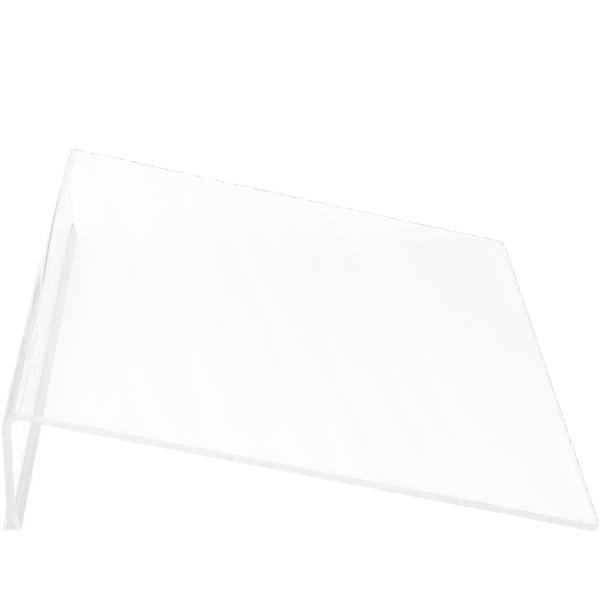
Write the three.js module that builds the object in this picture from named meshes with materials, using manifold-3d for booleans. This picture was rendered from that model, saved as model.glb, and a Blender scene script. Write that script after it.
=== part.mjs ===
// A countertop sneeze guard. One sheet of clear acrylic is heated along a line and bent, which makes
// a short upright leg and a long panel that slopes down to the counter on the other side. A clear
// foot channel is pushed onto the leg's lower edge, so that the leg stands on a wider, softer foot.
//
// Millimetres, +Z up. +X runs from the leg to the panel's free edge, and Y is along the bend. The
// origin is on the counter, at the middle of the guard's box.
import * as THREE from "three";
import { mergeVertices } from "three/addons/utils/BufferGeometryUtils.js";
import Module from "manifold-3d";

// The sheet
const WIDTH = 508; // along the bend, 20 in
const SHEET = 6.35; // thickness of a quarter-inch sheet
const PANEL_LENGTH = 455; // along the slope, from the corner that the outer faces would meet in
const SLOPE = THREE.MathUtils.degToRad(12.5); // the panel's fall towards its free edge
const BEND_INNER_RADIUS = 5.5;
const BLANK_CORNER_RADIUS = 6; // each corner of the flat sheet, before it is bent

// The foot channel
const FOOT_WIDTH = 14; // across the underside
const FOOT_HEIGHT = 19;
const FOOT_WEB = 1.6; // under the leg's edge
const FOOT_LIP = 0.45; // wall thickness at the top, where the channel hugs the leg
const FOOT_EDGE_RADIUS = 0.8; // along both lower edges
const SIDE_GAP = 0.25; // between the leg and each wall of the groove
const SEAT_GAP = 0.3; // between the leg's edge and the web

// Curves and cuts
const ARC_STEPS = 16; // pairs of straight steps in each arc
const CUT_MARGIN = 1; // how far a cutting solid runs past the faces that it cuts

// Worked out from the sizes above, with the leg's outer face at x = 0
const ALONG_PANEL = new THREE.Vector3(Math.cos(SLOPE), 0, -Math.sin(SLOPE));
const PANEL_NORMAL = new THREE.Vector3(Math.sin(SLOPE), 0, Math.cos(SLOPE));
const CORNER_HEIGHT = PANEL_LENGTH * Math.sin(SLOPE) + SHEET * Math.cos(SLOPE);
const BEND_OUTER_RADIUS = BEND_INNER_RADIUS + SHEET;
const BEND_HEIGHT = CORNER_HEIGHT - (BEND_OUTER_RADIUS * (1 + Math.sin(SLOPE))) / Math.cos(SLOPE);
const LEG_BOTTOM = FOOT_WEB + SEAT_GAP;
const LEG_MIDDLE = SHEET / 2;
const PANEL_END = PANEL_LENGTH * Math.cos(SLOPE);
const FOOT_OUTER_EDGE = LEG_MIDDLE - FOOT_WIDTH / 2;
const BOX_MIDDLE = (PANEL_END + FOOT_OUTER_EDGE) / 2;

const wasm = await Module();
wasm.setup();

// A closed geometry as a manifold-3d solid.
function solidOf(geometry) {
  const bare = new THREE.BufferGeometry().setAttribute("position", geometry.getAttribute("position"));
  bare.setIndex(geometry.getIndex());
  const merged = mergeVertices(bare, 1e-4);
  return new wasm.Manifold(
    new wasm.Mesh({
      numProp: 3,
      vertProperties: merged.getAttribute("position").array,
      triVerts: new Uint32Array(merged.getIndex().array),
    }),
  );
}

// A manifold-3d solid as a geometry with flat faces.
function geometryOf(solid) {
  const { vertProperties, triVerts } = solid.getMesh();
  const shared = new THREE.BufferGeometry()
    .setAttribute("position", new THREE.BufferAttribute(vertProperties, 3))
    .setIndex(new THREE.BufferAttribute(triVerts, 1));
  const faceted = shared.toNonIndexed();
  faceted.computeVertexNormals();
  return faceted;
}

// A section drawn in X and Z, extruded over the guard's whole width.
function acrossWidth(section) {
  const geometry = new THREE.ExtrudeGeometry(section, {
    depth: WIDTH,
    bevelEnabled: false,
    curveSegments: ARC_STEPS,
  });
  geometry.rotateX(Math.PI / 2);
  geometry.translate(0, WIDTH / 2, 0);
  return geometry;
}

// The bent sheet seen from its end: up the leg, round the bend, down the panel and back inside.
function sheetSection() {
  const outer = BEND_OUTER_RADIUS;
  const inner = BEND_INNER_RADIUS;
  const panelSide = Math.PI / 2 - SLOPE;
  const endTop = ALONG_PANEL.clone().multiplyScalar(PANEL_LENGTH);
  endTop.z += CORNER_HEIGHT;
  const endBottom = endTop.clone().addScaledVector(PANEL_NORMAL, -SHEET);
  const section = new THREE.Shape();
  section.moveTo(0, LEG_BOTTOM);
  section.lineTo(0, BEND_HEIGHT);
  section.absarc(outer, BEND_HEIGHT, outer, Math.PI, panelSide, true);
  section.lineTo(endTop.x, endTop.z);
  section.lineTo(endBottom.x, endBottom.z);
  section.absarc(outer, BEND_HEIGHT, inner, panelSide, Math.PI, false);
  section.lineTo(SHEET, LEG_BOTTOM);
  section.closePath();
  return section;
}

// The waste between a square corner and its rounding, to cut away. The corner is at the local
// origin, and the sheet lies towards -X and -Y.
function cornerWaste() {
  const radius = BLANK_CORNER_RADIUS;
  const waste = new THREE.Shape();
  waste.moveTo(-radius, CUT_MARGIN);
  waste.lineTo(-radius, 0);
  waste.absarc(-radius, -radius, radius, Math.PI / 2, 0, true);
  waste.lineTo(CUT_MARGIN, -radius);
  waste.lineTo(CUT_MARGIN, CUT_MARGIN);
  waste.closePath();
  const depth = 2 * (SHEET + CUT_MARGIN);
  const geometry = new THREE.ExtrudeGeometry(waste, {
    depth,
    bevelEnabled: false,
    curveSegments: ARC_STEPS,
  });
  geometry.translate(0, 0, -depth / 2);
  return geometry;
}

// Moves the waste to one corner of the sheet. outward points along the sheet to its end, and side
// is 1 or -1 for the two ends of the bend.
function wasteAt(edge, outward, side) {
  const sideways = new THREE.Vector3(0, side, 0);
  const [localX, localY] = side > 0 ? [outward, sideways] : [sideways, outward];
  const localZ = new THREE.Vector3().crossVectors(localX, localY);
  const corner = edge.clone().addScaledVector(sideways, WIDTH / 2);
  const place = new THREE.Matrix4().makeBasis(localX, localY, localZ).setPosition(corner);
  return solidOf(cornerWaste().applyMatrix4(place));
}

// Leg, bend and panel: one piece of clear acrylic with four rounded corners.
function guardSheet() {
  const down = new THREE.Vector3(0, 0, -1);
  const legEdge = new THREE.Vector3(0, 0, LEG_BOTTOM);
  const freeEdge = ALONG_PANEL.clone().multiplyScalar(PANEL_LENGTH);
  freeEdge.z += CORNER_HEIGHT;
  let sheet = solidOf(acrossWidth(sheetSection()));
  for (const side of [1, -1]) {
    sheet = sheet.subtract(wasteAt(legEdge, down, side));
    sheet = sheet.subtract(wasteAt(freeEdge, ALONG_PANEL, side));
  }
  const material = new THREE.MeshStandardMaterial({
    color: 0xf3f8f5,
    roughness: 0.03,
    metalness: 0,
    transparent: true,
    opacity: 0.35,
  });
  const mesh = new THREE.Mesh(geometryOf(sheet), material);
  mesh.name = "guard_sheet";
  return mesh;
}

// The channel seen from its end: a flared foot with a groove for the leg.
function footSection() {
  const grooveHalf = SHEET / 2 + SIDE_GAP;
  const topHalf = grooveHalf + FOOT_LIP;
  const baseHalf = FOOT_WIDTH / 2;
  const round = FOOT_EDGE_RADIUS;
  const section = new THREE.Shape();
  section.moveTo(-topHalf, FOOT_HEIGHT);
  section.lineTo(-baseHalf, round);
  section.absarc(round - baseHalf, round, round, Math.PI, 1.5 * Math.PI, false);
  section.absarc(baseHalf - round, round, round, 1.5 * Math.PI, 2 * Math.PI, false);
  section.lineTo(topHalf, FOOT_HEIGHT);
  section.lineTo(grooveHalf, FOOT_HEIGHT);
  section.lineTo(grooveHalf, FOOT_WEB);
  section.lineTo(-grooveHalf, FOOT_WEB);
  section.lineTo(-grooveHalf, FOOT_HEIGHT);
  section.closePath();
  return section;
}

// The strip of clear flexible PVC that the leg stands in.
function footChannel() {
  const material = new THREE.MeshStandardMaterial({
    color: 0xe9edeb,
    roughness: 0.15,
    metalness: 0,
    transparent: true,
    opacity: 0.5,
  });
  const mesh = new THREE.Mesh(acrossWidth(footSection()), material);
  mesh.name = "foot_channel";
  mesh.position.x = LEG_MIDDLE;
  return mesh;
}

const guard = new THREE.Group();
guard.position.x = -BOX_MIDDLE;
guard.add(guardSheet(), footChannel());

const sneezeGuard = new THREE.Group();
sneezeGuard.add(guard);

export default sneezeGuard;
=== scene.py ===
# %% [markdown]
# # A clear acrylic sneeze guard
#
# The guard is two pieces. One sheet of clear acrylic is heated along a line and bent, which makes
# a short upright leg and a long panel that slopes down to the counter. A strip of clear flexible
# PVC is pushed onto the leg's lower edge as a foot. Nothing is printed, painted or screwed on, so
# the whole look is two clear solids, and what their polished and sawn faces do with the light.
#
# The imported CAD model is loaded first. It fixes where everything is, so each place below is
# worked out from the boxes of its nodes.

# %% The frame
from math import cos, pi, radians, sin

import bmesh
import bpy
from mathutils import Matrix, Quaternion, Vector


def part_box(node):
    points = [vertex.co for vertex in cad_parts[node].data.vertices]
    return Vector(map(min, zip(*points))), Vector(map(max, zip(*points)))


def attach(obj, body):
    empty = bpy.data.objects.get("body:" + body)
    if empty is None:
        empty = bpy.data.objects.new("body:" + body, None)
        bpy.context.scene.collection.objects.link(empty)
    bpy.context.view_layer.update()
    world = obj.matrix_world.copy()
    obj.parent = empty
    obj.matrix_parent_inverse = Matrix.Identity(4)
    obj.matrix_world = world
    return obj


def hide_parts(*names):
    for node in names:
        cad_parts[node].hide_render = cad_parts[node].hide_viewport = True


MM = 0.001
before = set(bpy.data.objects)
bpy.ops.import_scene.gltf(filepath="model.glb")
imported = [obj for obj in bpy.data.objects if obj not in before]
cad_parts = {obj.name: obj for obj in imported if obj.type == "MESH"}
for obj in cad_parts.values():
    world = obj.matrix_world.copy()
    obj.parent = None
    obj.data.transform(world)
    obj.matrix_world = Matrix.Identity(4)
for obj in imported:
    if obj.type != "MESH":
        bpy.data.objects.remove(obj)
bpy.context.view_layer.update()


# %% [markdown]
# Colours are picked as sRGB hex values, as in any drawing program, but shaders work in linear
# light. One function turns the one into the other.

# %% Colours
def linear(hex_colour):
    """An sRGB hex colour as linear RGBA."""
    channels = [int(hex_colour[i : i + 2], 16) / 255 for i in (1, 3, 5)]
    return [c / 12.92 if c <= 0.04045 else ((c + 0.055) / 1.055) ** 2.4 for c in channels] + [1.0]


print("middle grey in linear light:", round(linear("#808080")[0], 3))


# %% [markdown]
# Every material here is a small graph of nodes. One helper adds a node with its settings, and
# fills each input with a value or with another node's output. A second one starts a material.

# %% Nodes
def add_node(tree, kind, settings=None, inputs=None):
    """Adds a node. Inputs are socket values, or outputs of other nodes to link."""
    node = tree.nodes.new(kind)
    for name, value in (settings or {}).items():
        setattr(node, name, value)
    for name, value in (inputs or {}).items():
        if isinstance(value, bpy.types.NodeSocket):
            tree.links.new(value, node.inputs[name])
        else:
            node.inputs[name].default_value = value
    return node


def start_material(name):
    """An empty node material, and its tree."""
    material = bpy.data.materials.new(name)
    material.use_nodes = True
    material.node_tree.nodes.clear()
    return material, material.node_tree


# %% [markdown]
# A mesh that was made in memory becomes an object with one function. The object stays at the
# origin, unturned and unscaled, because the place of each piece is in its mesh, as it is in the
# CAD nodes.

# %% Objects
def add_object(name, bm, materials):
    """Puts a finished bmesh in the scene as an object with these materials."""
    mesh = bpy.data.meshes.new(name)
    bm.to_mesh(mesh)
    bm.free()
    for material in materials:
        mesh.materials.append(material)
    piece = bpy.data.objects.new(name, mesh)
    bpy.context.scene.collection.objects.link(piece)
    print(name, "has", len(mesh.polygons), "faces")
    return piece


# %% [markdown]
# ## Camera
#
# The camera stands in front of the guard's end and looks along the bend, down and a little to
# the right. It leans slightly, as a hand-held camera does, which a roll about its own axis gives.
# A long lens keeps the two ends of the guard close to the same size.

# %% Camera
CAMERA_PLACE = Vector((-62.2, -1316, 732.3)) * MM
CAMERA_YAW = radians(2.91)
CAMERA_DIP = radians(26.83)
CAMERA_ROLL = radians(1.83)
LENS = 102.5

camera_data = bpy.data.cameras.new("camera")
camera_data.lens = LENS
camera = bpy.data.objects.new("camera", camera_data)
bpy.context.scene.collection.objects.link(camera)
bpy.context.scene.camera = camera
level_sight = Vector((sin(CAMERA_YAW), cos(CAMERA_YAW), 0))
sight = level_sight * cos(CAMERA_DIP) - Vector((0, 0, sin(CAMERA_DIP)))
camera.location = CAMERA_PLACE
camera.rotation_mode = "QUATERNION"
camera.rotation_quaternion = sight.to_track_quat("-Z", "Y") @ Quaternion((0, 0, 1), CAMERA_ROLL)
print("from the camera to the guard's middle in mm:", round(CAMERA_PLACE.length / MM))

# %% [markdown]
# ## Light
#
# Clear plastic has no colour of its own to light up. It shows by what it mirrors and what it
# bends, so what surrounds it matters more than how bright a lamp is. A big soft light overhead
# that falls off evenly towards the horizon does both: the flat faces stay clean, and each edge
# draws a grey line where it mirrors the dimmer sides. The light leans a little to the front, which
# leaves the horizon behind the guard the dimmest, and the far edges easy to see. A sky whose
# brightness depends only on the angle to the light's middle gives exactly that, with no lamp to
# leave a hard spot on the bend.

# %% Sky
SOFTBOX_LEAN = radians(10)
SOFTBOX_MIDDLE = 1.56
FAR_HORIZON = 0.53

world = bpy.data.worlds.new("overhead_softbox")
bpy.context.scene.world = world
world.use_nodes = True
sky = world.node_tree
sky.nodes.clear()
direction = add_node(sky, "ShaderNodeTexCoord")
towards_softbox = add_node(sky, "ShaderNodeVectorMath", {"operation": "DOT_PRODUCT"}, {
    0: direction.outputs["Generated"],
    1: (0, -sin(SOFTBOX_LEAN), cos(SOFTBOX_LEAN)),
})
brightness = add_node(sky, "ShaderNodeMapRange", inputs={
    "Value": towards_softbox.outputs["Value"],
    "From Min": -sin(SOFTBOX_LEAN),
    "To Min": FAR_HORIZON,
    "To Max": SOFTBOX_MIDDLE,
})
glow = add_node(sky, "ShaderNodeBackground", inputs={
    "Color": linear("#ffffff"),
    "Strength": brightness.outputs["Result"],
})
add_node(sky, "ShaderNodeOutputWorld", inputs={"Surface": glow.outputs["Background"]})
print("sky brightness from", FAR_HORIZON, "at the far horizon to", SOFTBOX_MIDDLE)

# %% [markdown]
# A clear sheet is a light guide. Light that enters one cut edge mirrors to and fro between the
# two faces, often more than fifty times, until it leaves by another edge. That is why the edges
# of real acrylic look bright. A path that is stopped early comes back black, so the paths here
# are long. The blur that usually tames glass after a matt bounce is off as well, because it would
# spread the light that falls through the panel and leave a shadow under it.
#
# The picture is shown as it is, with no film curve, so that white stays white.

# %% Light paths
LONGEST_PATH = 128

light_paths = bpy.context.scene.cycles
light_paths.max_bounces = LONGEST_PATH
light_paths.glossy_bounces = LONGEST_PATH
light_paths.transmission_bounces = LONGEST_PATH
light_paths.blur_glossy = 0
bpy.context.scene.view_settings.view_transform = "Standard"
print("light may turn", LONGEST_PATH, "times on its way")

# %% [markdown]
# The guard stands on a pale matt table, which also glows softly from below, as the opal tables do
# that clear goods are often shown on. The glow fills in most of the shadow, so that the white stays
# even behind the plastic. The table lies a hair under the guard, because two faces in one plane
# would flicker.

# %% Floor
FLOOR_SIDE = 30
FLOOR_DROP = 0.1 * MM
TABLE_GLOW = 0.42

opal_table, tree = start_material("opal_white_light_table")
opal = add_node(tree, "ShaderNodeBsdfPrincipled", inputs={
    "Base Color": linear("#bebebe"),
    "Roughness": 0.9,
    "Specular IOR Level": 0,
    "Emission Color": linear("#ffffff"),
    "Emission Strength": TABLE_GLOW,
})
add_node(tree, "ShaderNodeOutputMaterial", inputs={"Surface": opal.outputs["BSDF"]})

bm = bmesh.new()
bmesh.ops.create_grid(bm, size=FLOOR_SIDE / 2)
bmesh.ops.translate(bm, verts=bm.verts, vec=(0, 0, -FLOOR_DROP))
add_object("floor", bm, [opal_table])

# %% [markdown]
# ## Acrylic
#
# Cast acrylic takes its two broad faces from the plates of glass that it was cast between, so
# they are as smooth as glass: roughness close to 0, and an IOR of 1.49. What tells it from glass
# is small. It is never quite flat, so a reflection swims a little over every 80 mm or so, and
# faint soft streaks cross it at a slant. The streaks are a noise that is stretched along one
# direction. They move the roughness and, by a hair, how much light gets through.

# %% Polished acrylic
ACRYLIC_IOR = 1.49
STREAK_ANGLE = radians(13)
STREAK_WIDTH = 30 * MM
STREAK_LENGTH = 900 * MM
CASTING_WAVE = 80 * MM
CASTING_DEPTH = 0.02 * MM
STREAK_ROUGHNESS = 0.03

polished, tree = start_material("cast_acrylic_polished")
place = add_node(tree, "ShaderNodeTexCoord").outputs["Object"]
along_streaks = add_node(tree, "ShaderNodeMapping", {"vector_type": "TEXTURE"}, {
    "Vector": place,
    "Rotation": (0, 0, STREAK_ANGLE),
    "Scale": (STREAK_WIDTH, STREAK_LENGTH, STREAK_WIDTH),
})
# Faint soft streaks at a slant: a noise stretched along one direction, which sets the tint and the
# roughness.
streaks = add_node(tree, "ShaderNodeTexNoise", inputs={
    "Vector": along_streaks.outputs["Vector"],
    "Scale": 1,
    "Detail": 4,
})
clearness = add_node(tree, "ShaderNodeMix", {"data_type": "RGBA"}, {
    "Factor": streaks.outputs["Fac"],
    "A": linear("#f6f7f6"),
    "B": linear("#fcfdfc"),
})
haze = add_node(tree, "ShaderNodeMapRange", inputs={
    "Value": streaks.outputs["Fac"],
    "From Min": 0.3,
    "From Max": 0.7,
    "To Min": 0,
    "To Max": STREAK_ROUGHNESS,
})
swim = add_node(tree, "ShaderNodeTexNoise", inputs={
    "Vector": place,
    "Scale": 1 / CASTING_WAVE,
    "Detail": 0,
})
casting = add_node(tree, "ShaderNodeBump", inputs={
    "Height": swim.outputs["Fac"],
    "Distance": CASTING_DEPTH,
})
acrylic = add_node(tree, "ShaderNodeBsdfPrincipled", inputs={
    "Base Color": clearness.outputs["Result"],
    "Roughness": haze.outputs["Result"],
    "IOR": ACRYLIC_IOR,
    "Normal": casting.outputs["Normal"],
    "Transmission Weight": 1,
})
add_node(tree, "ShaderNodeOutputMaterial", inputs={"Surface": acrylic.outputs["BSDF"]})
print(polished.name, "has", len(tree.nodes), "nodes")

# %% [markdown]
# The sheet was cut out on a saw and only scraped since, so its edges are satin: light still gets
# through, but it is scattered, and fine slanted tooth marks cross the cut. The marks are a wave
# with a bump. Their real pitch is under half a millimetre, and they are drawn 1.2 mm apart, so
# that they show at all. The wave node draws ten waves in every 2 pi units along its axes, so the
# pitch is divided by that. Part of the light turns back in the surface, which is the share that
# isn't transmission.

# %% Sawn acrylic
TOOTH_PITCH = 1.2 * MM
TOOTH_DEPTH = 0.02 * MM
CHATTER = 20 * MM
WAVES_PER_UNIT = 10 / (2 * pi)

sawn, tree = start_material("cast_acrylic_sawn_edge")
place = add_node(tree, "ShaderNodeTexCoord").outputs["Object"]
teeth = add_node(tree, "ShaderNodeTexWave", {"bands_direction": "DIAGONAL"}, {
    "Vector": place,
    "Scale": 1 / (WAVES_PER_UNIT * TOOTH_PITCH),
    "Distortion": 3,
    "Detail": 3,
    "Detail Scale": 2,
})
chatter = add_node(tree, "ShaderNodeTexNoise", inputs={
    "Vector": place,
    "Scale": 1 / CHATTER,
    "Detail": 4,
})
dust = add_node(tree, "ShaderNodeMix", {"data_type": "RGBA"}, {
    "Factor": chatter.outputs["Fac"],
    "A": linear("#edeeed"),
    "B": linear("#f3f4f3"),
})
satin = add_node(tree, "ShaderNodeMapRange", inputs={
    "Value": teeth.outputs["Fac"],
    "To Min": 0.45,
    "To Max": 0.6,
})
marks = add_node(tree, "ShaderNodeBump", inputs={
    "Height": teeth.outputs["Fac"],
    "Distance": TOOTH_DEPTH,
})
acrylic = add_node(tree, "ShaderNodeBsdfPrincipled", inputs={
    "Base Color": dust.outputs["Result"],
    "Roughness": satin.outputs["Result"],
    "IOR": ACRYLIC_IOR,
    "Normal": marks.outputs["Normal"],
    "Transmission Weight": 0.8,
})
add_node(tree, "ShaderNodeOutputMaterial", inputs={"Surface": acrylic.outputs["BSDF"]})
print(sawn.name, "has", len(tree.nodes), "nodes")

# %% [markdown]
# ## PVC
#
# Flexible PVC is squeezed through a die, and the die draws fine lines along the strip. It is a
# little greyer and hazier than acrylic, and bends light a little more, with an IOR of 1.53. The
# lines are a noise that is half a millimetre wide and stretched along the strip.

# %% Extruded PVC
PVC_IOR = 1.53
DIE_LINE = 0.5 * MM
DIE_RUN = 250 * MM
DIE_DEPTH = 0.01 * MM

pvc, tree = start_material("flexible_pvc_extruded")
place = add_node(tree, "ShaderNodeTexCoord").outputs["Object"]
along_strip = add_node(tree, "ShaderNodeMapping", {"vector_type": "TEXTURE"}, {
    "Vector": place,
    "Scale": (DIE_LINE, DIE_RUN, DIE_LINE),
})
die = add_node(tree, "ShaderNodeTexNoise", inputs={
    "Vector": along_strip.outputs["Vector"],
    "Scale": 1,
    "Detail": 3,
})
resin = add_node(tree, "ShaderNodeMix", {"data_type": "RGBA"}, {
    "Factor": die.outputs["Fac"],
    "A": linear("#f0f1f1"),
    "B": linear("#f7f8f7"),
})
haze = add_node(tree, "ShaderNodeMapRange", inputs={
    "Value": die.outputs["Fac"],
    "To Min": 0.12,
    "To Max": 0.28,
})
lines = add_node(tree, "ShaderNodeBump", inputs={
    "Height": die.outputs["Fac"],
    "Distance": DIE_DEPTH,
})
vinyl = add_node(tree, "ShaderNodeBsdfPrincipled", inputs={
    "Base Color": resin.outputs["Result"],
    "Roughness": haze.outputs["Result"],
    "IOR": PVC_IOR,
    "Normal": lines.outputs["Normal"],
    "Transmission Weight": 1,
})
add_node(tree, "ShaderNodeOutputMaterial", inputs={"Surface": vinyl.outputs["BSDF"]})
print(pvc.name, "has", len(tree.nodes), "nodes")

# %% [markdown]
# The strip is cut to length with shears, which leaves its two ends dull. The torn grain there is a
# fine noise. It is drawn at 0.8 mm, coarser than the real one, so that it shows at all.

# %% Cut PVC
SHEAR_GRAIN = 0.8 * MM
SHEAR_DEPTH = 0.03 * MM

cut_pvc, tree = start_material("flexible_pvc_sheared_end")
place = add_node(tree, "ShaderNodeTexCoord").outputs["Object"]
tear = add_node(tree, "ShaderNodeTexNoise", inputs={
    "Vector": place,
    "Scale": 1 / SHEAR_GRAIN,
    "Detail": 2,
})
resin = add_node(tree, "ShaderNodeMix", {"data_type": "RGBA"}, {
    "Factor": tear.outputs["Fac"],
    "A": linear("#f2f3f3"),
    "B": linear("#fafbfa"),
})
tears = add_node(tree, "ShaderNodeBump", inputs={
    "Height": tear.outputs["Fac"],
    "Distance": SHEAR_DEPTH,
})
vinyl = add_node(tree, "ShaderNodeBsdfPrincipled", inputs={
    "Base Color": resin.outputs["Result"],
    "Roughness": 0.5,
    "IOR": PVC_IOR,
    "Normal": tears.outputs["Normal"],
    "Transmission Weight": 0.4,
})
add_node(tree, "ShaderNodeOutputMaterial", inputs={"Surface": vinyl.outputs["BSDF"]})
print(cut_pvc.name, "has", len(tree.nodes), "nodes")

# %% [markdown]
# ## The bent sheet
#
# The sheet could be a section drawn point by point and pulled over the width. It is made here as
# the workshop makes it: a bar that starts at the leg's edge, goes straight up, turns about the
# axis of the bend, and goes straight down the slope. The three moves are an extrude, a spin and
# an extrude. The thickness, the bend and the slope are the driving sizes, the same as in the CAD
# model, and the box of its node gives the rest.

# %% Sizes of the sheet
SHEET = 6.35 * MM
SLOPE = radians(12.5)
BEND_INNER_RADIUS = 5.5 * MM
LEG_LIFT = 1.9 * MM
BEND_STEPS = 48

sheet_low, sheet_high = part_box("guard_sheet")
foot_low, foot_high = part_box("foot_channel")
width = sheet_high.y - sheet_low.y
leg_edge = Vector((sheet_low.x + SHEET / 2, 0, foot_low.z + LEG_LIFT))
bend_outer_radius = BEND_INNER_RADIUS + SHEET
bend_axis = Vector((sheet_low.x, 0, sheet_high.z)) + Vector((1, 0, -1)) * bend_outer_radius
slope_start = bend_axis.x + bend_outer_radius * sin(SLOPE)
panel_run = (sheet_high.x - slope_start) / cos(SLOPE)
down_slope = Vector((cos(SLOPE), 0, -sin(SLOPE)))
print("the panel's flat part in mm:", round(panel_run / MM, 1))


# %% Leg, bend and panel
def lengthen(bm, end, move):
    """Extrudes the end of a bar by a vector, and returns the new end."""
    end = bmesh.ops.extrude_face_region(bm, geom=end)["geom"]
    bmesh.ops.translate(bm, verts=[v for v in end if isinstance(v, bmesh.types.BMVert)], vec=move)
    return end


bm = bmesh.new()
bmesh.ops.create_grid(bm, size=0.5)
bmesh.ops.scale(bm, verts=bm.verts, vec=(SHEET, width, 1))
bmesh.ops.translate(bm, verts=bm.verts, vec=leg_edge)
cut_ends = bm.faces[:]
end = bm.verts[:] + bm.edges[:] + bm.faces[:]
end = lengthen(bm, end, Vector((0, 0, bend_axis.z - leg_edge.z)))
end = bmesh.ops.spin(
    bm, geom=end, cent=bend_axis, axis=(0, 1, 0), angle=pi / 2 + SLOPE, steps=BEND_STEPS
)["geom_last"]
end = lengthen(bm, end, down_slope * panel_run)
cut_ends += [f for f in end if isinstance(f, bmesh.types.BMFace)]
bmesh.ops.recalc_face_normals(bm, faces=bm.faces)
print("open edges:", sum(not edge.is_manifold for edge in bm.edges))

# %% [markdown]
# The blank was cut with four rounded corners before it was bent. Each is the bevel of a short
# edge that runs through the thickness. The faces are sorted into polished and sawn first, so
# that the new corners take the sawn finish of their neighbours.

# %% Rounded corners
BLANK_CORNER_RADIUS = 6 * MM
CORNER_STEPS = 12
POLISHED_SLOT = 0
SAWN_SLOT = 1
MOSTLY = 0.5

for face in bm.faces:
    faces_sideways = abs(face.normal.y) > MOSTLY
    face.material_index = SAWN_SLOT if faces_sideways or face in cut_ends else POLISHED_SLOT
through_thickness = [
    edge for face in cut_ends for edge in face.edges if edge.calc_length() < 2 * SHEET
]
bmesh.ops.bevel(
    bm, geom=through_thickness, affect="EDGES", offset=BLANK_CORNER_RADIUS,
    segments=CORNER_STEPS, profile=0.5, material=-1,
)
print("corners rounded:", len(through_thickness))

# %% [markdown]
# A sharp sawn edge would cut a hand, so it is broken with a scraper all the way round. That
# little slope, the arris, is what catches the light along the outline. It lies wherever a
# polished face meets a sawn one. The bend is shaded smooth, and the flat faces stay flat, so
# that they mirror without a bulge.

# %% Arrises
ARRIS = 0.6 * MM
ARRIS_STEPS = 3

rim = [edge for edge in bm.edges if len({face.material_index for face in edge.link_faces}) == 2]
arrises = bmesh.ops.bevel(
    bm, geom=rim, affect="EDGES", offset=ARRIS, segments=ARRIS_STEPS, profile=0.5, material=-1
)["faces"]
for face in arrises:
    face.material_index = SAWN_SLOT
    face.smooth = True
bend_strip = 2 * pi * bend_outer_radius / BEND_STEPS * width
for face in bm.faces:
    if face.material_index == POLISHED_SLOT and face.calc_area() < bend_strip:
        face.smooth = True
print("arris faces:", len(arrises))

guard = add_object("acrylic_guard", bm, [polished, sawn])
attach(guard, "root")
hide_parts("guard_sheet")

# %% [markdown]
# ## The foot channel
#
# The foot is the same section over the whole width, so it is one face pulled along the bend. The
# section flares towards the counter, and its groove holds the leg. The CAD model leaves a gap
# round the leg, but soft PVC grips, so here the groove closes on the acrylic to a hair.

# %% Foot section
GRIP_GAP = 0.03 * MM
CAD_GAP = 0.25 * MM
LIP = 0.45 * MM

foot_middle = (foot_low.x + foot_high.x) / 2
base_half = (foot_high.x - foot_low.x) / 2
top_half = SHEET / 2 + CAD_GAP + LIP
groove_half = SHEET / 2 + GRIP_GAP
groove_floor = leg_edge.z - GRIP_GAP
right_side = [
    (base_half, foot_low.z),
    (top_half, foot_high.z),
    (groove_half, foot_high.z),
    (groove_half, groove_floor),
]
section = right_side + [(-x, z) for x, z in reversed(right_side)]
print("section in mm:", [(round(x / MM, 2), round(z / MM, 2)) for x, z in section])

# %% [markdown]
# The section is pulled along the whole width in one extrude. The two lower edges come round out
# of the die, which a bevel of the long edges gives, and the lips stay thin and sharp. The two end
# faces get the sheared finish, and everything else the drawn one.

# %% Foot
BASE_ROUND = 0.8 * MM
ROUND_STEPS = 4
DRAWN_SLOT = 0
SHEARED_SLOT = 1

bm = bmesh.new()
bm.faces.new([bm.verts.new((foot_middle + x, foot_low.y, z)) for x, z in section])
sheared = bm.faces[:]
end = bm.verts[:] + bm.edges[:] + bm.faces[:]
end = lengthen(bm, end, Vector((0, foot_high.y - foot_low.y, 0)))
sheared += [f for f in end if isinstance(f, bmesh.types.BMFace)]
bmesh.ops.recalc_face_normals(bm, faces=bm.faces)
for face in bm.faces:
    face.material_index = SHEARED_SLOT if face in sheared else DRAWN_SLOT
base_edges = [
    edge for edge in bm.edges
    if edge.calc_length() > width / 2 and edge.verts[0].co.z < foot_low.z + BASE_ROUND
]
rounded = bmesh.ops.bevel(
    bm, geom=base_edges, affect="EDGES", offset=BASE_ROUND, segments=ROUND_STEPS,
    profile=0.5, material=-1,
)["faces"]
for face in rounded:
    face.smooth = True
print("open edges:", sum(not edge.is_manifold for edge in bm.edges))

foot = add_object("pvc_foot", bm, [pvc, cut_pvc])
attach(foot, "root")
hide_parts("foot_channel")
